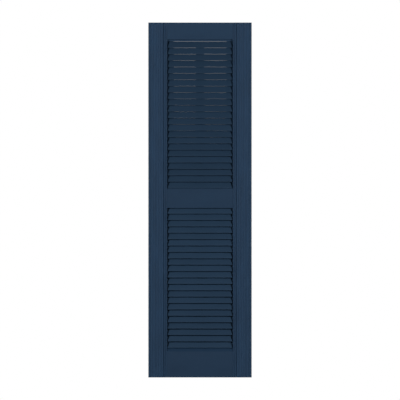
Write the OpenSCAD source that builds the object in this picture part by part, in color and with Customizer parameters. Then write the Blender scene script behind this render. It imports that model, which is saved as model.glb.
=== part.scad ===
// Louvred exterior shutter: two hollow stiles, three hollow rails and two fields of fixed slats.
// X runs across the shutter, Z runs up, and the front faces -Y. The back lies in the plane Y = 0.
// The origin is at the middle of the back.

/* [Shutter] */
// Overall width
shutter_w = 381; // [300:1:460]
// Overall height
shutter_h = 1308; // [900:1:1800]

/* [Stiles] */
// Width of each stile
stile_w = 69.6; // [62:0.1:90]
// Depth of each stile, which is the depth of the shutter
stile_d = 28; // [26:0.5:36]
// Wall of the hollow stiles and rails
wall = 2.6; // [2:0.1:3]
// Thickness of the webs inside the stiles and rails
web_t = 2; // [1.5:0.1:3]
// Distance from a stile's outer edge to the middle of its web
web_at = 34; // [28:0.5:40]
// Radius of the rounded outer edge
edge_r = 5.5; // [4:0.5:6]
// Width of the lower strip along the outer edge
strip_w = 8; // [7:0.5:12]
// Step from that strip up to the face
strip_step = 0.6; // [0.3:0.1:1]
// Thickness of the end caps
cap_t = 2; // [1.5:0.1:3]
// Depth of each cap's plug inside the stile
plug_h = 5.5; // [4:0.5:7]

/* [Beads] */
// Width of the channel that holds the two beads, along a stile's inner edge
channel_w = 14.3; // [13.8:0.1:16.8]
// Depth of the channel below the stile's face
channel_deep = 2.4; // [2:0.1:3]
// Radius of the wide bead
wide_bead_r = 2.8; // [2.5:0.1:3]
// Distance from the stile's inner edge to the middle of the wide bead
wide_bead_at = 9.9; // [9.3:0.1:10.3]
// Radius of the slim bead
slim_bead_r = 2.4; // [2.1:0.1:2.5]
// Distance from the stile's inner edge to the middle of the slim bead
slim_bead_at = 2.5; // [2.5:0.1:3]
// How far the top of the slim bead lies below the stile's face
slim_bead_drop = 0.8; // [0.5:0.1:1]

/* [Rails] */
// Height of the top rail
top_rail_h = 62; // [54:0.5:90]
// Height of the middle rail
mid_rail_h = 72.6; // [58:0.1:110]
// Height of the bottom rail, with its sloped top
bottom_rail_h = 108.6; // [84:0.1:140]
// Height of the slope at the top of the bottom rail
slope_h = 13.1; // [8:0.1:18]
// How far the rails' faces lie behind the stiles' faces
rail_set_back = 2; // [1:0.1:3]
// How far the middle rail may reach down over the slat below it
rail_over = 3; // [2:0.1:5]
// Depth of the lip at the lower back of the top rail
lip_d = 14; // [10:0.5:18]
// How far that lip hangs below the rail's front
lip_drop = 6.9; // [3:0.1:8]
// Depth of the strip on top of the middle rail, behind the nose of the slat above it
strip_d = 4; // [3:0.5:5]
// How far that strip reaches up behind the nose
strip_up = 2.6; // [1:0.1:3]

/* [Slats] */
// Height from one slat to the next
slat_pitch = 23.54; // [20:0.01:30]
// Thickness of a slat
slat_t = 4; // [3:0.1:5]
// Angle between a slat and the upright
slat_tilt = 32; // [28:0.5:33]
// How far each slat's upper edge reaches up behind the slat above
slat_lap = 0.1; // [0:0.1:3]
// How far the slats' noses lie behind the stiles' faces
slat_set_back = 3; // [2:0.1:4]
// Gap between a slat's end and the stile
slat_end_gap = 2.7; // [0.5:0.1:4]
// Width cut off each upper corner of a slat
cope_w = 5; // [1:0.5:8]
// Clearance between a rail and the nearest slat
slat_clear = 0.4; // [0.2:0.1:1]

/* [Slat bars] */
// Width of the notched bars behind the slats' ends
end_bar_w = 24; // [16:0.5:26]
// Width of the notched bars behind the middle of the slats
mid_bar_w = 32; // [16:0.5:50]
// How far the front faces of the notched bars lie behind those of the stiles
bar_set_back = 16; // [15:0.1:17.5]
// Clearance between a slat and its notch, on each side
notch_fit = 0.1; // [0.05:0.05:0.3]

/* [Tenons and screws] */
// Height of the tenon blocks between the rails and the stiles
tenon_h = 40; // [34:1:46]
// Length of a tenon inside its rail
tenon_in_rail = 40; // [30:1:60]
// Length of a tenon inside its stile, with the wall
tenon_in_stile = 30; // [24:0.5:32]
// Clearance around a tenon, a cap's plug and a screw's shank in its hole
slip_fit = 0.2; // [0.1:0.05:0.4]
// Shank diameter of the screws
screw_d = 3.5; // [3:0.1:4]
// Head diameter of the screws
head_d = 6.6; // [6:0.1:7]
// Height of a screw's countersunk head
head_h = 1.8; // [1.5:0.1:1.9]
// Length of the screws that hold the tenons
tenon_screw_l = 16; // [12:0.5:18]
// Distance between the two screws of a tenon end
tenon_screw_gap = 22; // [16:1:26]
// How far a bar's screws reach past the stile's inner wall
bar_screw_past = 3; // [2:0.5:5]
// Slats from one bar screw to the next
bar_screw_every = 6; // [3:1:10]
// Width of the slot across a screw's head
slot_w = 0.9; // [0.6:0.1:1.2]

/* [Hidden] */
paint = [0.155, 0.225, 0.305];
paint_shade = [0.12, 0.18, 0.25];
bare_plastic = [0.55, 0.56, 0.57];
zinc = [0.62, 0.63, 0.62];
over = 1;
$fn = 48;

// Across the shutter.
stile_x = shutter_w / 2 - stile_w;
stile_l = shutter_h - 2 * cap_t;
field_w = 2 * stile_x;
slat_l = field_w - 2 * slat_end_gap;
chamber_x = web_at + web_t / 2;
rail_d = stile_d - rail_set_back;
chamber_d = stile_d - channel_deep - 2 * wall;
tenon_d = chamber_d - 2 * slip_fit;
bar_d = stile_d - bar_set_back;

// One slat, from its nose up to its back edge. Depth runs forward from the back of the shutter.
nose_d = stile_d - slat_set_back - slat_t / 2;
slat_h = slat_pitch + slat_lap;
slat_slope_l = (slat_h - slat_t) / cos(slat_tilt);
slat_skin = slat_t / 2 / cos(slat_tilt);
function slat_front_at(h) = nose_d + slat_skin - (h - slat_t / 2) * tan(slat_tilt);
function slat_back_h(depth) = slat_t / 2 + (nose_d - slat_skin - depth) / tan(slat_tilt);

// Heights, counted up from the bottom edge of the shutter.
places = floor((shutter_h - bottom_rail_h - top_rail_h - lip_drop - slat_lap - slat_clear) / slat_pitch);
mid_places = ceil((mid_rail_h - rail_over) / slat_pitch);
lower_count = floor((places - mid_places) / 2);
upper_count = places - mid_places - lower_count;
lower_z = bottom_rail_h;
upper_z = lower_z + (lower_count + mid_places) * slat_pitch;
mid_rail_z = upper_z - slat_clear - mid_rail_h;
top_rail_z = shutter_h - top_rail_h;
lip_z = top_rail_z - lip_drop;

// The middle rail is cut away at its lower back, over the upper edge of the slat below it.
lower_top = lower_z + lower_count * slat_pitch + slat_lap;
rebate_h = max(0, lower_top + slat_clear - mid_rail_z);
rebate_d = slat_front_at(slat_h - rebate_h) + 2 * slat_clear;
flat_h = bottom_rail_h - slope_h;
slope_top_d = rail_d - slope_h * tan(slat_tilt);

// The middle of each tenon. The top one lies midway between its rail's lower wall and the caps' plugs.
bottom_tenon_z = flat_h / 2;
mid_tenon_z = mid_rail_z + (mid_rail_h + rebate_h) / 2;
top_tenon_z = (top_rail_z + wall + shutter_h - cap_t - plug_h) / 2;
tenon_zs = [bottom_tenon_z, mid_tenon_z, top_tenon_z];

// A middle bar ends a little below its last slat's upper edge.
function bar_h(count) = (count - 1) * slat_pitch + slat_h - slat_t;

// The screws of an end bar go through its teeth, half way between two notches.
tooth_z = (slat_lap + slat_back_h(bar_d)) / 2;
function screw_places(count) = [for (i = [1 : bar_screw_every : count - 1]) i];
bar_screw_zs = concat(
    [for (i = screw_places(lower_count)) lower_z + i * slat_pitch + tooth_z],
    [for (i = screw_places(upper_count)) upper_z + i * slat_pitch + tooth_z]
);
bar_screw_l = end_bar_w + wall + bar_screw_past;

function two_digits(i) = i < 10 ? str("0", i) : str(i);
function lower_name(i) = str("slat_lower_", two_digits(i));
function upper_name(i) = str("slat_upper_", two_digits(i));

// Moves things from heights above the bottom edge to the shutter's own frame.
module from_bottom(z = 0) {
    translate([0, 0, z - shutter_h / 2]) children();
}

// Runs an outline of depth and height across the shutter, centred on x.
module run_across(length, x = 0) {
    translate([x - length / 2, 0, 0]) rotate([90, 0, 90]) linear_extrude(length)
        mirror([1, 0, 0]) children();
}

module both_sides() {
    children();
    mirror([1, 0, 0]) children();
}

// A rectangle from the outer edge inwards, with its outer front corner rounded.
module eased_rectangle(w, d, r) {
    difference() {
        square([w, d]);
        difference() {
            translate([-over, d - r]) square([r + over, r + over]);
            translate([r, d - r]) circle(r);
        }
    }
}

// A stile's outline, from its outer edge inwards and from its back forwards.
module stile_outline() {
    eased_rectangle(stile_w - channel_w, stile_d - strip_step, edge_r);
    translate([strip_w, wall]) square([stile_w - channel_w - strip_w, stile_d - wall]);
    translate([strip_w, 0]) square([stile_w - strip_w, stile_d - channel_deep]);
    translate([stile_w - wide_bead_at, stile_d - wide_bead_r]) circle(wide_bead_r);
    translate([stile_w - slim_bead_at, stile_d - slim_bead_drop - slim_bead_r]) circle(slim_bead_r);
}

// The two hollows of a stile, made smaller all round by a clearance.
module stile_hollows(gap = 0) {
    outer_w = web_at - web_t / 2 - wall;
    inner_w = stile_w - wall - chamber_x;
    translate([wall + gap, wall + gap])
        eased_rectangle(outer_w - 2 * gap, stile_d - strip_step - 2 * wall - 2 * gap, edge_r - wall);
    translate([chamber_x + gap, wall + gap]) square([inner_w - 2 * gap, chamber_d - 2 * gap]);
}

// The left-hand stile. The right-hand one is its mirror image.
module stile() {
    difference() {
        from_bottom(cap_t) translate([-shutter_w / 2, 0, 0]) linear_extrude(stile_l)
            mirror([0, 1, 0]) difference() {
                stile_outline();
                stile_hollows();
            }
        for (z = tenon_zs) {
            from_bottom(z) tenon_window();
            from_bottom(z) tenon_stile_screws() screw_hole(wall + over);
        }
        for (z = bar_screw_zs)
            from_bottom(z) bar_screw() shank(bar_screw_l);
    }
}

// The hole in a stile's inner wall that a tenon goes through.
module tenon_window() {
    d = tenon_d + 2 * slip_fit;
    h = tenon_h + 2 * slip_fit;
    translate([-stile_x - wall - over, -wall - d, -h / 2]) cube([wall + 2 * over, d, h]);
}

module stile_left() {
    color(paint) stile();
}

module stile_right() {
    color(paint) mirror([1, 0, 0]) stile();
}

// An end cap: a lid of the stile's own outline with two plugs that fill its hollows.
module stile_cap() {
    linear_extrude(cap_t) stile_outline();
    translate([0, 0, cap_t]) linear_extrude(plug_h) stile_hollows(slip_fit);
}

module stile_caps() {
    color(paint) both_sides() translate([-shutter_w / 2, 0, 0]) {
        from_bottom() mirror([0, 1, 0]) stile_cap();
        from_bottom(shutter_h) rotate([180, 0, 0]) stile_cap();
    }
}

// A hollow between two heights, from the back wall forwards.
module hollow(z0, z1, d = rail_d - 2 * wall) {
    if (z1 - z0 > web_t)
        translate([wall, z0]) square([d, z1 - z0]);
}

// The middle hollow of a rail, which the tenons fit, with a web below and above it.
module tenon_hollows(low, tenon_z, high) {
    half = tenon_h / 2 + slip_fit;
    hollow(low, tenon_z - half - web_t);
    hollow(tenon_z - half, tenon_z + half, tenon_d + 2 * slip_fit);
    hollow(tenon_z + half + web_t, high);
}

// Runs a rail's outline between the stiles and drills it for the screws of both its tenons.
module rail(tenon_z) {
    from_bottom() difference() {
        run_across(field_w) children();
        both_sides() translate([0, 0, tenon_z]) tenon_rail_screws() screw_hole(wall + over);
    }
}

module rail_top() {
    color(paint) rail(top_tenon_z) difference() {
        union() {
            translate([0, top_rail_z]) square([rail_d, top_rail_h]);
            translate([0, lip_z]) square([lip_d, lip_drop + wall]);
        }
        tenon_hollows(top_rail_z + wall, top_tenon_z, shutter_h - wall);
    }
}

module rail_mid() {
    color(paint) rail(mid_tenon_z) difference() {
        union() {
            translate([0, mid_rail_z]) square([rail_d, mid_rail_h]);
            translate([bar_d, upper_z - slat_clear - wall])
                square([strip_d, wall + slat_clear + strip_up]);
        }
        if (rebate_h > 0)
            translate([-over, mid_rail_z - over]) square([rebate_d + over, rebate_h + over]);
        tenon_hollows(mid_rail_z + rebate_h + wall, mid_tenon_z, mid_rail_z + mid_rail_h - wall);
    }
}

module rail_bottom() {
    color(paint) rail(bottom_tenon_z) difference() {
        polygon([
            [0, 0],
            [rail_d, 0],
            [rail_d, flat_h],
            [slope_top_d, bottom_rail_h],
            [0, bottom_rail_h]
        ]);
        tenon_hollows(wall, bottom_tenon_z, flat_h - wall);
        hollow(flat_h, bottom_rail_h - wall, slope_top_d - 2 * wall);
    }
}

// A slat's section, with its nose at height 0, made larger all round by a clearance.
module slat_section(gap = 0) {
    r = slat_t / 2 + gap;
    translate([nose_d, slat_t / 2]) rotate(slat_tilt) {
        circle(r);
        translate([-r, 0]) square([2 * r, slat_slope_l]);
        translate([0, slat_slope_l]) circle(r);
    }
}

// The space in front of a slat's back surface, from its nose upwards, made larger by a clearance.
module slat_front_space(gap = 0) {
    translate([nose_d, slat_t / 2]) rotate(slat_tilt)
        translate([-slat_t / 2 - gap, 0]) square(2 * slat_slope_l);
}

// One slat with its upper corners cut back, because they lie deep between the stiles.
module slat(z) {
    half = slat_l / 2;
    color(paint_shade) from_bottom(z) difference() {
        run_across(slat_l) slat_section();
        both_sides() rotate([90, 0, 0]) linear_extrude(stile_d) polygon([
            [half, slat_t],
            [half + over, slat_t],
            [half + over, slat_h + over],
            [half - cope_w, slat_h + over]
        ]);
    }
}

// A notched bar from height z0 to height z1, for the slats that start at height slats_z.
// Its last notch is open to the front.
module bar(z0, z1, slats_z, count, w, x = 0) {
    color(paint_shade) from_bottom() run_across(w, x) difference() {
        translate([0, z0]) square([bar_d, z1 - z0]);
        for (i = [0 : count - 2])
            translate([0, slats_z + i * slat_pitch]) slat_section(notch_fit);
        translate([0, slats_z + (count - 1) * slat_pitch]) slat_front_space(notch_fit);
    }
}

// The left-hand end bar of a field, drilled for the screws that hold it to the stile.
module end_bar(z0, z1, slats_z, count) {
    difference() {
        bar(z0, z1, slats_z, count, end_bar_w, -stile_x + end_bar_w / 2);
        for (i = screw_places(count))
            from_bottom(slats_z + i * slat_pitch + tooth_z) bar_screw() screw_hole(end_bar_w + over);
    }
}

module upper_end_bar() {
    end_bar(upper_z - slat_clear, lip_z, upper_z, upper_count);
}

module lower_end_bar() {
    end_bar(lower_z, mid_rail_z, lower_z, lower_count);
}

module bar_upper_left() {
    upper_end_bar();
}

module bar_upper_right() {
    mirror([1, 0, 0]) upper_end_bar();
}

module bar_upper_mid() {
    bar(upper_z - slat_clear, upper_z + bar_h(upper_count), upper_z, upper_count, mid_bar_w);
}

module bar_lower_left() {
    lower_end_bar();
}

module bar_lower_right() {
    mirror([1, 0, 0]) lower_end_bar();
}

module bar_lower_mid() {
    bar(lower_z, lower_z + bar_h(lower_count), lower_z, lower_count, mid_bar_w);
}

// A tenon block half in a rail and half in the left-hand stile, drilled for its four screws.
module tenon() {
    l = tenon_in_rail + tenon_in_stile;
    difference() {
        translate([-stile_x - tenon_in_stile, -wall - slip_fit - tenon_d, -tenon_h / 2])
            cube([l, tenon_d, tenon_h]);
        tenon_stile_screws() shank(tenon_screw_l);
        tenon_rail_screws() shank(tenon_screw_l);
    }
}

module rail_tenons() {
    color(bare_plastic) for (z = tenon_zs) from_bottom(z) both_sides() tenon();
}

// Places a pair of screws that go in from the back, where the left-hand stile covers the tenon.
module tenon_stile_screws() {
    screw_pair(-stile_x - (tenon_in_stile + wall) / 2) children();
}

// The same, where the rail covers the tenon.
module tenon_rail_screws() {
    screw_pair(-stile_x + tenon_in_rail / 2) children();
}

module screw_pair(x) {
    for (s = [-1, 1]) translate([x, 0, s * tenon_screw_gap / 2]) rotate([90, 0, 0]) children();
}

// Places a screw that goes outwards through an end bar into the left-hand stile.
module bar_screw() {
    translate([-stile_x + end_bar_w, -bar_d / 2, 0]) rotate([0, -90, 0]) children();
}

// A screw's solid outline along +Z, with its countersunk head's flat face at height 0.
module shank(length) {
    cylinder(h = head_h, d1 = head_d, d2 = screw_d);
    cylinder(h = length, d = screw_d);
}

// The hole for a screw in the piece under its head, with clearance all round.
module screw_hole(depth) {
    cylinder(h = head_h, d1 = head_d, d2 = screw_d);
    translate([0, 0, -over]) cylinder(h = over, d = head_d);
    cylinder(h = depth, d = screw_d + 2 * slip_fit);
}

// A countersunk screw with a plain slot across its head.
module screw(length) {
    difference() {
        shank(length);
        translate([-head_d, -slot_w / 2, -over]) cube([2 * head_d, slot_w, over + head_h / 2]);
    }
}

module tenon_screws() {
    color(zinc) for (z = tenon_zs) from_bottom(z) both_sides() {
        tenon_stile_screws() screw(tenon_screw_l);
        tenon_rail_screws() screw(tenon_screw_l);
    }
}

module bar_screws() {
    color(zinc) for (z = bar_screw_zs) from_bottom(z) both_sides() bar_screw() screw(bar_screw_l);
}

stile_left();
stile_right();
rail_top();
rail_mid();
rail_bottom();
for (i = [1 : upper_count])
    slat(upper_z + (i - 1) * slat_pitch);
for (i = [1 : lower_count])
    slat(lower_z + (i - 1) * slat_pitch);
bar_upper_left();
bar_upper_mid();
bar_upper_right();
bar_lower_left();
bar_lower_mid();
bar_lower_right();
stile_caps();
rail_tenons();
tenon_screws();
bar_screws();
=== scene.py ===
import math

import bmesh
import bpy
from bpy.props import FloatProperty, FloatVectorProperty, IntProperty, PointerProperty
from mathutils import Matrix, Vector


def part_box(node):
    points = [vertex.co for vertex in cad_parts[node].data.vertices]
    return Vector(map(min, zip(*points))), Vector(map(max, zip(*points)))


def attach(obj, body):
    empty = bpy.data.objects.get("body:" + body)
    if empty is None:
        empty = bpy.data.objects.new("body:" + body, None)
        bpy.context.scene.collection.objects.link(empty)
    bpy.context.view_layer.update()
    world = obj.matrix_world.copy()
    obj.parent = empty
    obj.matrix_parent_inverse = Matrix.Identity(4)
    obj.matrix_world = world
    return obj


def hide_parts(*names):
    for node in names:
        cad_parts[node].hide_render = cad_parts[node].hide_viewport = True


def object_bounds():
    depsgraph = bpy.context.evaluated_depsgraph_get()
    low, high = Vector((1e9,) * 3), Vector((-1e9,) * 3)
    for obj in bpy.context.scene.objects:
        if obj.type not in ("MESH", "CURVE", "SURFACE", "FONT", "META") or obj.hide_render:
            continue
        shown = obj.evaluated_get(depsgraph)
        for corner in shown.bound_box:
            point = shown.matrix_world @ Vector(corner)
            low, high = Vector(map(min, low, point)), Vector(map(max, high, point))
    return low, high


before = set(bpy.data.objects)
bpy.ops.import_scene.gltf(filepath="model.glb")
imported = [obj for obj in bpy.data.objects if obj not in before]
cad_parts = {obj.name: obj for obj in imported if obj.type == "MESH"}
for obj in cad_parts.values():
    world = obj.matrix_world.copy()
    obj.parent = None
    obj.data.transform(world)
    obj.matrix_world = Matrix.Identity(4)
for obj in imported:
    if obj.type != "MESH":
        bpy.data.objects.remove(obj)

bl_info = {
    "name": "Louvred shutter",
    "version": (1, 0, 0),
    "blender": (4, 5, 0),
    "location": "3D View > Sidebar > Shutter",
    "description": "Finishes a louvred exterior shutter over its construction model",
    "category": "Object",
}

# The construction model's own box, from before any finished piece is added.
CAD_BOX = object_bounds()
BODY = "root"
MM = 0.001

# Faces that meet at more than this angle keep a sharp edge when a mesh is shaded smooth.
SHARP_ANGLE = math.radians(30)
# Where faces meet at more than this angle along a long enough edge, the edge is rounded.
ROUNDED_ANGLE = math.radians(35)
# Faces that meet at less than this angle are joined.
FLAT_ANGLE = math.radians(0.6)
# Points that are closer together than this are one point.
SAME_POINT = 0.002 * MM
# The shortest edges that are rounded, on the pieces of the frame and on the bars.
FRAME_SHORTEST_EDGE = 20 * MM
BAR_SHORTEST_EDGE = 100 * MM

PAINT_SPECULAR = 0.15
BARE_PLASTIC = (0.27, 0.28, 0.29)
ZINC = (0.55, 0.56, 0.55)
FLOOR_GREY = (0.4, 0.4, 0.4, 1.0)
WHITE = (1.0, 1.0, 1.0, 1.0)
# Where the grain starts, which sets where its rings fall on the stiles.
GRAIN_SHIFT = (0.31, 0.0, 0.17)

# The colour sockets of a mix node, which share their names with its other sockets.
MIX_DARK, MIX_LIGHT, MIX_RESULT = 6, 7, 2

FLOOR_RADIUS = 6.0
FLOOR_SIDES = 96
# Where the right-hand lights stand, from the middle of the shutter's back, in metres.
FRONT_LIGHT = (3.3, -4.2, 0.85)
BACK_LIGHT = (3.4, 3.8, -0.3)
LIGHT_WIDTH = 1.5
LIGHT_HEIGHT = 0.65

UPPER_SLATS = sorted(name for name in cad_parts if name.startswith("slat_upper_"))
LOWER_SLATS = sorted(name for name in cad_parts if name.startswith("slat_lower_"))
SLAT_BARS = sorted(
    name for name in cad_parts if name.startswith(("bar_lower_", "bar_upper_"))
)


def size_of(node):
    """Width, depth and height of a node."""
    low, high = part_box(node)
    return [high[i] - low[i] for i in range(3)]


def slat_pitch():
    """Height from one slat to the next."""
    first, second = (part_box(name)[0] for name in UPPER_SLATS[:2])
    return second[2] - first[2]


SLAT_SIZE = size_of(UPPER_SLATS[0])
# The attribute that holds each slat's own tone.
SLAT_TONE = "slat_tone"


# ---------------------------------------------------------------------------------------------
# Settings that a user would change
# ---------------------------------------------------------------------------------------------


def colour_property(name, description, default):
    """A colour that can be picked in the sidebar."""
    return FloatVectorProperty(
        name=name,
        description=description,
        subtype="COLOR",
        size=3,
        min=0.0,
        max=1.0,
        default=default,
    )


def length_property(name, description, default, least=0.0):
    """A length in metres."""
    return FloatProperty(
        name=name,
        description=description,
        subtype="DISTANCE",
        unit="LENGTH",
        min=least,
        default=default,
    )


def power_property(name, description, default):
    """A light's power in watts."""
    return FloatProperty(
        name=name,
        description=description,
        subtype="POWER",
        unit="POWER",
        min=0.0,
        default=default,
    )


class ShutterPaintSettings(bpy.types.PropertyGroup):
    """Colours and texture of the painted plastic, with painted shade darkening the upper slats and
    the lower rails.
    """

    stile_colour: colour_property(
        "Stile colour",
        "Colour of the stiles and their caps",
        (0.0148, 0.0414, 0.0864),
    )
    rail_colour: colour_property(
        "Top rail colour",
        "Colour of the top rail",
        (0.0145, 0.0391, 0.0797),
    )
    # Painted shade: the middle and bottom rails use a darker copy of the top rail's colour, because
    # the top rail catches more light from above.
    lower_rail_painted_shade_colour: colour_property(
        "Lower rail colour with painted shade",
        "Colour of the middle and bottom rails, darker than the top one as painted shade",
        (0.0130, 0.0352, 0.0725),
    )
    # Painted shade: the upper slats' colour is set darker than the lower slats' because the upper
    # field gets less light, not because its paint differs.
    upper_slat_painted_shade_colour: colour_property(
        "Upper slat colour with painted shade",
        "Colour of the upper field of slats, darker than the lower one as painted shade",
        (0.0175, 0.0400, 0.0745),
    )
    slat_colour: colour_property(
        "Slat colour",
        "Colour of the lower field of slats and of the bars behind both",
        (0.0195, 0.0440, 0.0815),
    )
    grain_depth: length_property(
        "Grain depth",
        "Depth of the wood grain embossed in the stiles",
        0.5 * MM,
    )
    skin_depth: length_property(
        "Skin depth",
        "Depth of the fine texture on the rails and slats",
        0.1 * MM,
    )


class ShutterSlatSettings(bpy.types.PropertyGroup):
    """Sizes of the slats."""

    thickness: length_property(
        "Thickness",
        "Thickness of a slat, which is also the width of its rounded nose",
        4 * MM,
        least=1 * MM,
    )
    pitch: length_property(
        "Pitch",
        "Height from one slat to the next",
        slat_pitch(),
        least=10 * MM,
    )
    cope: length_property(
        "Cope",
        "Width cut off each upper corner of a slat",
        5 * MM,
    )
    sides: IntProperty(
        name="Sides",
        description="Points round a slat's section",
        min=12,
        max=64,
        default=32,
    )


class ShutterEdgeSettings(bpy.types.PropertyGroup):
    """How sharp the long edges are."""

    frame_edge: length_property(
        "Frame edges",
        "Radius of the long edges of the stiles, caps and rails",
        0.45 * MM,
    )
    bar_edge: length_property(
        "Bar edges",
        "Radius of the long edges of the bars behind the slats",
        0.3 * MM,
    )


class ShutterStageSettings(bpy.types.PropertyGroup):
    """Camera, floor and lights."""

    focal_length: FloatProperty(
        name="Focal length",
        description="Focal length of the camera in millimetres",
        min=20.0,
        max=600.0,
        default=600.0,
    )
    view_width: FloatProperty(
        name="View width",
        description="Width that the camera sees at the front of the shutter",
        subtype="DISTANCE",
        unit="LENGTH",
        default=1.474,
    )
    floor_drop: FloatProperty(
        name="Floor drop",
        description="How far the floor lies below the shutter, which hangs on a wall",
        subtype="DISTANCE",
        unit="LENGTH",
        default=0.12,
    )
    side_power: power_property(
        "Side lights",
        "Power of each of the two soft lights in front of the shutter",
        133.0,
    )
    back_power: power_property(
        "Back lights",
        "Power of each of the two soft lights low down behind the shutter",
        110.0,
    )
    room_light: FloatProperty(
        name="Room light",
        description="Strength of the even light from all round",
        min=0.0,
        default=0.08,
    )


# ---------------------------------------------------------------------------------------------
# Shader node groups
# ---------------------------------------------------------------------------------------------


def new_group(name, kind, inputs, outputs):
    """An empty node group with its named sockets, and its input and output nodes."""
    group = bpy.data.node_groups.new(name, kind)
    for socket_name, socket_type, default in inputs:
        socket = group.interface.new_socket(socket_name, in_out="INPUT", socket_type=socket_type)
        if default is not None:
            socket.default_value = default
    for socket_name, socket_type in outputs:
        group.interface.new_socket(socket_name, in_out="OUTPUT", socket_type=socket_type)
    group_in = group.nodes.new("NodeGroupInput")
    group_out = group.nodes.new("NodeGroupOutput")
    return group, group_in, group_out


def add(nodes, kind, **settings):
    """A new node with its settings."""
    node = nodes.new(kind)
    for name, value in settings.items():
        setattr(node, name, value)
    return node


def math_node(tree, operation, first, second=None, clamp=False):
    """A math node fed by sockets or plain numbers, and its result."""
    node = add(tree.nodes, "ShaderNodeMath", operation=operation, use_clamp=clamp)
    for i, value in enumerate((first, second)):
        if value is None:
            continue
        if isinstance(value, bpy.types.NodeSocket):
            tree.links.new(value, node.inputs[i])
        else:
            node.inputs[i].default_value = value
    return node.outputs[0]


def stretched(tree, vector, factors):
    """A vector with each of its parts multiplied by a factor."""
    node = add(tree.nodes, "ShaderNodeVectorMath", operation="MULTIPLY")
    tree.links.new(vector, node.inputs[0])
    node.inputs[1].default_value = factors
    return node.outputs[0]


def noise(tree, vector, scale, detail=2.0, roughness=0.5):
    """A noise texture's value."""
    node = add(tree.nodes, "ShaderNodeTexNoise", noise_dimensions="3D")
    tree.links.new(vector, node.inputs["Vector"])
    node.inputs["Scale"].default_value = scale
    node.inputs["Detail"].default_value = detail
    node.inputs["Roughness"].default_value = roughness
    return node.outputs["Fac"]


def wood_grain_group():
    """Wood grain pressed into plastic, running along Z: rings, long streaks and short pores."""
    group, group_in, group_out = new_group(
        "Embossed wood grain",
        "ShaderNodeTree",
        [
            ("Vector", "NodeSocketVector", None),
            ("Ring amount", "NodeSocketFloat", 0.5),
            ("Streak amount", "NodeSocketFloat", 0.35),
            ("Pore amount", "NodeSocketFloat", 0.5),
        ],
        [("Height", "NodeSocketFloat"), ("Tone", "NodeSocketFloat")],
    )
    links = group.links
    vector = group_in.outputs["Vector"]

    ring = add(group.nodes, "ShaderNodeTexWave", wave_type="BANDS", bands_direction="X")
    links.new(stretched(group, vector, (1.0, 0.4, 0.035)), ring.inputs["Vector"])
    ring.inputs["Scale"].default_value = 34.0
    ring.inputs["Distortion"].default_value = 5.0
    ring.inputs["Detail"].default_value = 2.0
    ring.inputs["Detail Scale"].default_value = 1.4
    # A power above 1 makes the rings narrower.
    rings = math_node(group, "POWER", ring.outputs["Fac"], 1.6)

    streaks = noise(
        group,
        stretched(group, vector, (1.0, 1.0, 0.022)),
        scale=420.0,
        detail=3.0,
        roughness=0.55,
    )
    pores = noise(group, stretched(group, vector, (1.0, 1.0, 0.05)), scale=900.0, detail=1.0)
    pits = add(group.nodes, "ShaderNodeMapRange", clamp=True)
    links.new(pores, pits.inputs["Value"])
    pits.inputs["From Min"].default_value = 0.56
    pits.inputs["From Max"].default_value = 0.66

    patches = noise(group, stretched(group, vector, (1.0, 1.0, 0.25)), scale=38.0)

    height = math_node(group, "MULTIPLY", rings, group_in.outputs["Ring amount"])
    streak_part = math_node(group, "MULTIPLY", streaks, group_in.outputs["Streak amount"])
    pit_part = math_node(group, "MULTIPLY", pits.outputs["Result"], group_in.outputs["Pore amount"])
    height = math_node(group, "ADD", height, streak_part)
    height = math_node(group, "SUBTRACT", height, pit_part)
    links.new(height, group_out.inputs["Height"])

    ring_tone = math_node(group, "MULTIPLY", rings, 0.35)
    patch_tone = math_node(group, "MULTIPLY", patches, 0.65)
    tone = math_node(group, "ADD", ring_tone, patch_tone, clamp=True)
    links.new(tone, group_out.inputs["Tone"])
    return group


def moulded_skin_group():
    """The fine even texture of sprayed or moulded plastic, with faint larger patches."""
    group, group_in, group_out = new_group(
        "Moulded skin",
        "ShaderNodeTree",
        [
            ("Vector", "NodeSocketVector", None),
            ("Drag", "NodeSocketFloat", 0.3),
        ],
        [("Height", "NodeSocketFloat"), ("Tone", "NodeSocketFloat")],
    )
    vector = group_in.outputs["Vector"]
    speckle = noise(group, vector, scale=900.0)
    drag = noise(group, stretched(group, vector, (0.02, 1.0, 1.0)), scale=500.0)
    drag = math_node(group, "MULTIPLY", drag, group_in.outputs["Drag"])
    group.links.new(math_node(group, "ADD", speckle, drag), group_out.inputs["Height"])
    patches = noise(group, stretched(group, vector, (0.4, 1.0, 1.0)), scale=22.0, detail=3.0)
    group.links.new(patches, group_out.inputs["Tone"])
    return group


def mixed_for_camera(tree, real, seen):
    """A shader that looks like one thing to the camera and acts as another on everything else."""
    path = add(tree.nodes, "ShaderNodeLightPath")
    mix = add(tree.nodes, "ShaderNodeMixShader")
    tree.links.new(path.outputs["Is Camera Ray"], mix.inputs[0])
    tree.links.new(real.outputs[0], mix.inputs[1])
    tree.links.new(seen.outputs[0], mix.inputs[2])
    return mix.outputs[0]


def place_group(tree, group, vector, **values):
    """A node group placed in a material with its own values."""
    node = add(tree.nodes, "ShaderNodeGroup", node_tree=group)
    tree.links.new(vector, node.inputs["Vector"])
    for name, value in values.items():
        node.inputs[name.replace("_", " ").capitalize()].default_value = value
    return node


# ---------------------------------------------------------------------------------------------
# Materials
# ---------------------------------------------------------------------------------------------


def shared_group(name, build):
    """A node group that is built once and used by every material that asks for it."""
    return bpy.data.node_groups.get(name) or build()


def new_material(name):
    """A material with an empty Principled shader, its object coordinates and its tree."""
    material = bpy.data.materials.new(name)
    material.use_nodes = True
    tree = material.node_tree
    shader = tree.nodes["Principled BSDF"]
    coordinates = add(tree.nodes, "ShaderNodeTexCoord")
    return material, tree, shader, coordinates.outputs["Object"]


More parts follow.
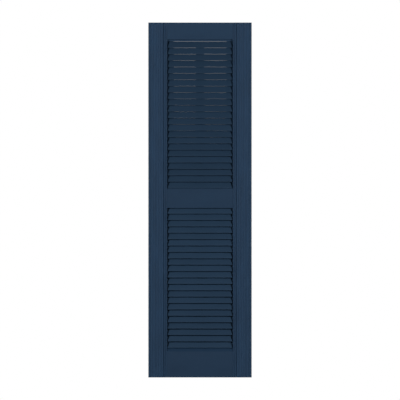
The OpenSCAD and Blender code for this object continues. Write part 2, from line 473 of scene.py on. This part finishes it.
def own_tone(tree, attribute, tone, share):
    """Mixes a tone with the value that each moulding carries in an attribute."""
    carried = add(tree.nodes, "ShaderNodeAttribute", attribute_name=attribute)
    mix = add(tree.nodes, "ShaderNodeMix", data_type="FLOAT")
    mix.inputs["Factor"].default_value = share
    tree.links.new(tone, mix.inputs["A"])
    tree.links.new(carried.outputs["Fac"], mix.inputs["B"])
    return mix.outputs["Result"]


def tint(tree, shader, colour, tone, spread):
    """Feeds the shader a colour that gets a little lighter and darker with the tone."""
    mix = add(tree.nodes, "ShaderNodeMix", data_type="RGBA", blend_type="MIX")
    tree.links.new(tone, mix.inputs["Factor"])
    mix.inputs[MIX_DARK].default_value = [c * (1 - spread) for c in colour] + [1.0]
    mix.inputs[MIX_LIGHT].default_value = [min(1.0, c * (1 + spread)) for c in colour] + [1.0]
    tree.links.new(mix.outputs[MIX_RESULT], shader.inputs["Base Color"])


def roughen(tree, shader, tone, low, high):
    """Feeds the shader a roughness between two values, following the tone."""
    spread = add(tree.nodes, "ShaderNodeMapRange")
    tree.links.new(tone, spread.inputs["Value"])
    spread.inputs["To Min"].default_value = low
    spread.inputs["To Max"].default_value = high
    tree.links.new(spread.outputs["Result"], shader.inputs["Roughness"])


def emboss(tree, shader, height, depth):
    """Feeds the shader a surface raised by a height of so many metres."""
    bump = add(tree.nodes, "ShaderNodeBump")
    bump.inputs["Distance"].default_value = depth
    bump.inputs["Strength"].default_value = 1.0
    tree.links.new(height, bump.inputs["Height"])
    tree.links.new(bump.outputs["Normal"], shader.inputs["Normal"])


def grained_plastic(name, colour, depth, shift):
    """Painted plastic with an upright wood grain pressed into it."""
    material, tree, shader, vector = new_material(name)
    mapping = add(tree.nodes, "ShaderNodeMapping")
    mapping.inputs["Location"].default_value = shift
    tree.links.new(vector, mapping.inputs["Vector"])
    grain = place_group(
        tree,
        shared_group("Embossed wood grain", wood_grain_group),
        mapping.outputs["Vector"],
    )
    tint(tree, shader, colour, grain.outputs["Tone"], spread=0.3)
    roughen(tree, shader, grain.outputs["Tone"], low=0.5, high=0.62)
    emboss(tree, shader, grain.outputs["Height"], depth)
    shader.inputs["Specular IOR Level"].default_value = PAINT_SPECULAR
    return material


def smooth_plastic(name, colour, depth, drag, attribute=None):
    """Painted plastic with a fine even skin, and a tone of its own for each moulding."""
    material, tree, shader, vector = new_material(name)
    skin = place_group(tree, shared_group("Moulded skin", moulded_skin_group), vector, drag=drag)
    tone = skin.outputs["Tone"]
    if attribute:
        tone = own_tone(tree, attribute, tone, share=0.35)
    tint(tree, shader, colour, tone, spread=0.12)
    roughen(tree, shader, skin.outputs["Tone"], low=0.48, high=0.58)
    emboss(tree, shader, skin.outputs["Height"], depth)
    shader.inputs["Specular IOR Level"].default_value = PAINT_SPECULAR
    return material


def zinc_plate(name):
    """Bright zinc plate, slightly cloudy."""
    material, tree, shader, vector = new_material(name)
    skin = place_group(tree, shared_group("Moulded skin", moulded_skin_group), vector)
    tint(tree, shader, ZINC, skin.outputs["Tone"], spread=0.15)
    roughen(tree, shader, skin.outputs["Tone"], low=0.3, high=0.45)
    emboss(tree, shader, skin.outputs["Height"], depth=0.02 * MM)
    shader.inputs["Metallic"].default_value = 1.0
    return material


# ---------------------------------------------------------------------------------------------
# Meshes
# ---------------------------------------------------------------------------------------------


def add_piece(name, mesh, material, nodes):
    """Puts a finished mesh in the scene, riding on the shutter in place of its nodes.

    Weighted normals keep its wide flat faces flat beside their rounded edges.
    """
    piece = bpy.data.objects.new(name, mesh)
    bpy.context.scene.collection.objects.link(piece)
    mesh.materials.clear()
    mesh.materials.append(material)
    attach(piece, BODY)
    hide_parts(*nodes)
    modifier = piece.modifiers.new("Even faces", "WEIGHTED_NORMAL")
    modifier.keep_sharp = True


def smooth_by_angle(mesh):
    """Shades a mesh smooth, except across its sharp edges."""
    mesh.shade_smooth()
    mesh.set_sharp_from_angle(angle=SHARP_ANGLE)


def eased_mesh(node, width, shortest_edge, segments):
    """A copy of a node's mesh with its flat triangles joined and its long sharp edges rounded."""
    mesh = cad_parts[node].data.copy()
    shape = bmesh.new()
    shape.from_mesh(mesh)
    bmesh.ops.remove_doubles(shape, verts=shape.verts, dist=SAME_POINT)
    bmesh.ops.dissolve_limit(
        shape, angle_limit=FLAT_ANGLE, verts=shape.verts, edges=shape.edges
    )
    long_edges = [
        edge
        for edge in shape.edges
        if edge.is_manifold
        and edge.calc_length() > shortest_edge
        and edge.calc_face_angle() > ROUNDED_ANGLE
    ]
    if long_edges and width > 0:
        bmesh.ops.bevel(
            shape,
            geom=long_edges,
            offset=width,
            segments=segments,
            profile=0.5,
            affect="EDGES",
            clamp_overlap=False,
        )
    shape.to_mesh(mesh)
    shape.free()
    smooth_by_angle(mesh)
    return mesh


def finish_nodes(nodes, finish, width, shortest_edge, segments=3):
    """Gives each of some nodes a finished piece with rounded edges."""
    for node in nodes:
        mesh = eased_mesh(node, width, shortest_edge, segments)
        add_piece(node + "_finished", mesh, finish, [node])


# ---------------------------------------------------------------------------------------------
# Geometry node trees
# ---------------------------------------------------------------------------------------------


def slat_field_tree():
    """A row of equal slats, one above the other, with rounded noses and coped upper corners."""
    tree, tree_in, tree_out = new_group(
        "Slat field",
        "GeometryNodeTree",
        [
            ("Count", "NodeSocketInt", 2),
            ("Pitch", "NodeSocketFloat", 0.02),
            ("Length", "NodeSocketFloat", 0.2),
            ("Thickness", "NodeSocketFloat", 0.004),
            ("Slope length", "NodeSocketFloat", 0.02),
            ("Tilt", "NodeSocketFloat", 0.5),
            ("Cope", "NodeSocketFloat", 0.005),
            ("Sides", "NodeSocketInt", 32),
            ("First nose", "NodeSocketVector", None),
            ("Seed", "NodeSocketInt", 7),
            ("Finish", "NodeSocketMaterial", None),
        ],
        [("Geometry", "NodeSocketGeometry")],
    )
    links = tree.links
    sizes = tree_in.outputs

    # A round bar along Z is split along its axis and drawn apart, for the slat's flat faces.
    radius = math_node(tree, "MULTIPLY", sizes["Thickness"], 0.5)
    bar = add(tree.nodes, "GeometryNodeMeshCylinder", fill_type="NGON")
    links.new(sizes["Sides"], bar.inputs["Vertices"])
    links.new(radius, bar.inputs["Radius"])
    links.new(sizes["Length"], bar.inputs["Depth"])
    position = add(tree.nodes, "GeometryNodeInputPosition")
    at = add(tree.nodes, "ShaderNodeSeparateXYZ")
    links.new(position.outputs[0], at.inputs[0])
    upper_half = math_node(tree, "GREATER_THAN", at.outputs["Y"], 0.01 * MM)
    moved = math_node(tree, "MULTIPLY", upper_half, sizes["Slope length"])
    drawn_y = math_node(tree, "ADD", at.outputs["Y"], moved)

    # The ends slope inwards towards the slat's upper edge.
    up_slat = math_node(tree, "DIVIDE", drawn_y, sizes["Slope length"], clamp=True)
    cut = math_node(tree, "MULTIPLY", up_slat, sizes["Cope"])
    half_length = math_node(tree, "MULTIPLY", sizes["Length"], 0.5)
    keep = math_node(tree, "SUBTRACT", 1.0, math_node(tree, "DIVIDE", cut, half_length))
    drawn = add(tree.nodes, "ShaderNodeCombineXYZ")
    links.new(at.outputs["X"], drawn.inputs["X"])
    links.new(drawn_y, drawn.inputs["Y"])
    links.new(math_node(tree, "MULTIPLY", at.outputs["Z"], keep), drawn.inputs["Z"])
    shaped = add(tree.nodes, "GeometryNodeSetPosition")
    links.new(bar.outputs["Mesh"], shaped.inputs["Geometry"])
    links.new(drawn.outputs[0], shaped.inputs["Position"])

    # Lay it across the shutter, then lean its upper edge back.
    across = add(tree.nodes, "GeometryNodeTransform")
    links.new(shaped.outputs["Geometry"], across.inputs["Geometry"])
    across.inputs["Rotation"].default_value = (0.0, math.pi / 2, 0.0)
    lean = add(tree.nodes, "ShaderNodeCombineXYZ")
    links.new(math_node(tree, "SUBTRACT", math.pi / 2, sizes["Tilt"]), lean.inputs["X"])
    leaning = add(tree.nodes, "GeometryNodeTransform")
    links.new(across.outputs["Geometry"], leaning.inputs["Geometry"])
    links.new(lean.outputs[0], leaning.inputs["Rotation"])

    step = add(tree.nodes, "ShaderNodeCombineXYZ")
    links.new(sizes["Pitch"], step.inputs["Z"])
    places = add(tree.nodes, "GeometryNodeMeshLine", mode="OFFSET")
    links.new(sizes["Count"], places.inputs["Count"])
    links.new(sizes["First nose"], places.inputs["Start Location"])
    links.new(step.outputs[0], places.inputs["Offset"])
    row = add(tree.nodes, "GeometryNodeInstanceOnPoints")
    links.new(places.outputs["Mesh"], row.inputs["Points"])
    links.new(leaning.outputs["Geometry"], row.inputs["Instance"])

    # Each slat keeps a tone of its own, as parts from different mouldings do.
    chance = add(tree.nodes, "FunctionNodeRandomValue", data_type="FLOAT")
    links.new(sizes["Seed"], chance.inputs["Seed"])
    tone = add(
        tree.nodes, "GeometryNodeStoreNamedAttribute", data_type="FLOAT", domain="INSTANCE"
    )
    tone.inputs["Name"].default_value = SLAT_TONE
    links.new(row.outputs["Instances"], tone.inputs["Geometry"])
    links.new(chance.outputs[1], tone.inputs["Value"])
    real = add(tree.nodes, "GeometryNodeRealizeInstances")
    links.new(tone.outputs["Geometry"], real.inputs["Geometry"])
    finish = add(tree.nodes, "GeometryNodeSetMaterial")
    links.new(real.outputs["Geometry"], finish.inputs["Geometry"])
    links.new(sizes["Finish"], finish.inputs["Material"])
    links.new(finish.outputs["Geometry"], tree_out.inputs["Geometry"])
    return tree


def grown_mesh(tree, base_mesh, values):
    """Runs a geometry node tree once with the values it is given, and returns the plain mesh."""
    seed = bpy.data.objects.new("Seed", base_mesh)
    bpy.context.scene.collection.objects.link(seed)
    modifier = seed.modifiers.new("Grow", "NODES")
    modifier.node_group = tree
    for item in tree.interface.items_tree:
        if item.item_type == "SOCKET" and item.in_out == "INPUT" and item.name in values:
            modifier[item.identifier] = values[item.name]
    bpy.context.view_layer.update()
    grown = seed.evaluated_get(bpy.context.evaluated_depsgraph_get())
    mesh = bpy.data.meshes.new_from_object(grown)
    seed.modifiers.remove(modifier)
    bpy.data.objects.remove(seed)
    if not mesh.polygons:
        raise RuntimeError("The geometry nodes made nothing")
    return mesh


# ---------------------------------------------------------------------------------------------
# Operators
# ---------------------------------------------------------------------------------------------


class SHUTTER_OT_stiles(bpy.types.Operator):
    """Gives the two stiles and their end caps rounded edges and an embossed upright grain"""

    bl_idname = "shutter.stiles"
    bl_label = "Finish stiles and caps"

    def execute(self, context):
        paint = context.scene.shutter_paint
        width = context.scene.shutter_edges.frame_edge
        finish = grained_plastic(
            "Stile paint", paint.stile_colour, paint.grain_depth, GRAIN_SHIFT
        )
        nodes = ("stile_left", "stile_right", "stile_caps")
        finish_nodes(nodes, finish, width, FRAME_SHORTEST_EDGE)
        return {"FINISHED"}


class SHUTTER_OT_rails(bpy.types.Operator):
    """Gives the three rails rounded edges and a fine skin"""

    bl_idname = "shutter.rails"
    bl_label = "Finish rails"

    def execute(self, context):
        paint = context.scene.shutter_paint
        width = context.scene.shutter_edges.frame_edge
        for name, nodes, colour in (
            ("Top rail paint", ["rail_top"], paint.rail_colour),
            # The lower rails' darker colour is painted shade.
            ("Lower rail paint with painted shade", ["rail_mid", "rail_bottom"], paint.lower_rail_painted_shade_colour),
        ):
            finish = smooth_plastic(name, colour, paint.skin_depth, drag=0.6)
            finish_nodes(nodes, finish, width, FRAME_SHORTEST_EDGE)
        return {"FINISHED"}


class SHUTTER_OT_slats(bpy.types.Operator):
    """Makes both fields of slats from one geometry node tree"""

    bl_idname = "shutter.slats"
    bl_label = "Make slats"

    def execute(self, context):
        scene = context.scene
        paint = scene.shutter_paint
        slats = scene.shutter_slats
        tree = slat_field_tree()
        length, depth, height = SLAT_SIZE
        reach = depth - slats.thickness
        rise = height - slats.thickness
        for name, label, nodes, colour in (
            # The upper field's darker colour is painted shade.
            ("slats_upper", "Upper slat paint with painted shade", UPPER_SLATS, paint.upper_slat_painted_shade_colour),
            ("slats_lower", "Lower slat paint", LOWER_SLATS, paint.slat_colour),
        ):
            finish = smooth_plastic(label, colour, paint.skin_depth, 0.9, SLAT_TONE)
            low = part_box(nodes[0])[0]
            half = slats.thickness / 2
            nose = Vector((0.0, low[1] + half, low[2] + half))
            values = {
                "Count": len(nodes),
                "Pitch": slats.pitch,
                "Length": length,
                "Thickness": slats.thickness,
                "Slope length": math.hypot(reach, rise),
                "Tilt": math.atan2(reach, rise),
                "Cope": slats.cope,
                "Sides": slats.sides,
                "First nose": nose,
                "Finish": finish,
            }
            mesh = grown_mesh(tree, bpy.data.meshes.new(name), values)
            smooth_by_angle(mesh)
            add_piece(name, mesh, finish, nodes)
        return {"FINISHED"}


class SHUTTER_OT_bars(bpy.types.Operator):
    """Gives the notched bars behind the slats their finish"""

    bl_idname = "shutter.bars"
    bl_label = "Finish slat bars"

    def execute(self, context):
        paint = context.scene.shutter_paint
        width = context.scene.shutter_edges.bar_edge
        finish = smooth_plastic("Bar paint", paint.slat_colour, paint.skin_depth, drag=0.3)
        finish_nodes(SLAT_BARS, finish, width, BAR_SHORTEST_EDGE, segments=2)
        return {"FINISHED"}


class SHUTTER_OT_fixings(bpy.types.Operator):
    """Gives the tenon blocks and the screws their finish"""

    bl_idname = "shutter.fixings"
    bl_label = "Finish fixings"

    def execute(self, context):
        blocks = smooth_plastic("Block plastic", BARE_PLASTIC, 0.05 * MM, drag=0.2)
        zinc = zinc_plate("Screw zinc")
        for node, finish in (
            ("rail_tenons", blocks),
            ("tenon_screws", zinc),
            ("bar_screws", zinc),
        ):
            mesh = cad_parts[node].data
            mesh.materials.clear()
            mesh.materials.append(finish)
        return {"FINISHED"}


class SHUTTER_OT_stage(bpy.types.Operator):
    """Sets up the floor, the soft lights and the camera"""

    bl_idname = "shutter.stage"
    bl_label = "Set the stage"

    def execute(self, context):
        scene = context.scene
        stage = scene.shutter_stage
        low = CAD_BOX[0]
        self.add_floor(scene, low[2] - stage.floor_drop)
        self.add_room(scene, stage.room_light)
        for side in (-1, 1):
            for name, (x, y, z), power in (
                ("Front light", FRONT_LIGHT, stage.side_power),
                ("Back light", BACK_LIGHT, stage.back_power),
            ):
                self.add_soft_light(scene, name, (side * x, y, z), power)
        self.add_camera(scene, stage, low[1])
        scene.view_settings.view_transform = "Standard"
        return {"FINISHED"}

    def add_floor(self, scene, height):
        """A wide round floor that looks as white as the room, but throws little light back up."""
        mesh = bpy.data.meshes.new("Floor")
        shape = bmesh.new()
        bmesh.ops.create_circle(
            shape, cap_ends=True, segments=FLOOR_SIDES, radius=FLOOR_RADIUS
        )
        bmesh.ops.translate(shape, verts=shape.verts, vec=(0.0, 0.0, height))
        shape.to_mesh(mesh)
        shape.free()
        floor = bpy.data.objects.new("Floor", mesh)
        scene.collection.objects.link(floor)
        material, tree, shader, _ = new_material("Floor paper")
        shader.inputs["Base Color"].default_value = FLOOR_GREY
        shader.inputs["Roughness"].default_value = 0.9
        shader.inputs["Specular IOR Level"].default_value = 0.0
        seen = add(tree.nodes, "ShaderNodeEmission")
        surface = tree.nodes["Material Output"].inputs["Surface"]
        tree.links.new(mixed_for_camera(tree, shader, seen), surface)
        mesh.materials.append(material)

    def add_room(self, scene, strength):
        """White walls far away, which light the shutter only a little."""
        world = bpy.data.worlds.new("Studio")
        scene.world = world
        world.use_nodes = True
        tree = world.node_tree
        tree.nodes.clear()
        seen = add(tree.nodes, "ShaderNodeBackground")
        seen.inputs["Color"].default_value = WHITE
        lighting = add(tree.nodes, "ShaderNodeBackground")
        lighting.inputs["Color"].default_value = WHITE
        lighting.inputs["Strength"].default_value = strength
        out = add(tree.nodes, "ShaderNodeOutputWorld")
        tree.links.new(mixed_for_camera(tree, lighting, seen), out.inputs["Surface"])

    def add_soft_light(self, scene, name, place, power):
        """A large soft light that is aimed at the middle of the shutter."""
        data = bpy.data.lights.new(name, "AREA")
        data.shape = "RECTANGLE"
        data.size = LIGHT_WIDTH
        data.size_y = LIGHT_HEIGHT
        data.energy = power
        light = bpy.data.objects.new(name, data)
        scene.collection.objects.link(light)
        light.location = place
        light.rotation_euler = Vector(place).to_track_quat("Z", "Y").to_euler()
        light.visible_camera = False

    def add_camera(self, scene, stage, front):
        """A camera level with the middle of the shutter and square to its front."""
        data = bpy.data.cameras.new("Camera")
        data.lens = stage.focal_length
        distance = stage.view_width * data.lens / data.sensor_width
        camera = bpy.data.objects.new("Camera", data)
        camera.location = (0.0, front - distance, 0.0)
        camera.rotation_euler = (math.pi / 2, 0.0, 0.0)
        scene.collection.objects.link(camera)
        scene.camera = camera


class SHUTTER_PT_panel(bpy.types.Panel):
    """Lists the steps and the settings in the sidebar"""

    bl_idname = "SHUTTER_PT_panel"
    bl_label = "Louvred shutter"
    bl_space_type = "VIEW_3D"
    bl_region_type = "UI"
    bl_category = "Shutter"

    def draw(self, context):
        layout = self.layout
        scene = context.scene
        for operator in OPERATORS:
            layout.operator(operator.bl_idname)
        for settings in (
            scene.shutter_paint,
            scene.shutter_slats,
            scene.shutter_edges,
            scene.shutter_stage,
        ):
            box = layout.box()
            for name in settings.__annotations__:
                box.prop(settings, name)


SETTINGS = {
    "shutter_paint": ShutterPaintSettings,
    "shutter_slats": ShutterSlatSettings,
    "shutter_edges": ShutterEdgeSettings,
    "shutter_stage": ShutterStageSettings,
}
OPERATORS = (
    SHUTTER_OT_stiles,
    SHUTTER_OT_rails,
    SHUTTER_OT_slats,
    SHUTTER_OT_bars,
    SHUTTER_OT_fixings,
    SHUTTER_OT_stage,
)


def register():
    """Adds the settings, the operators and the panel."""
    for settings in SETTINGS.values():
        bpy.utils.register_class(settings)
    for operator in OPERATORS:
        bpy.utils.register_class(operator)
    bpy.utils.register_class(SHUTTER_PT_panel)
    for name, settings in SETTINGS.items():
        setattr(bpy.types.Scene, name, PointerProperty(type=settings))


def unregister():
    """Takes them away again."""
    for name in SETTINGS:
        delattr(bpy.types.Scene, name)
    bpy.utils.unregister_class(SHUTTER_PT_panel)
    for operator in reversed(OPERATORS):
        bpy.utils.unregister_class(operator)
    for settings in reversed(SETTINGS.values()):
        bpy.utils.unregister_class(settings)


def main():
    """Runs every step in turn."""
    register()
    bpy.ops.shutter.stiles()
    bpy.ops.shutter.rails()
    bpy.ops.shutter.slats()
    bpy.ops.shutter.bars()
    bpy.ops.shutter.fixings()
    bpy.ops.shutter.stage()


if __name__ == "__main__":
    main()
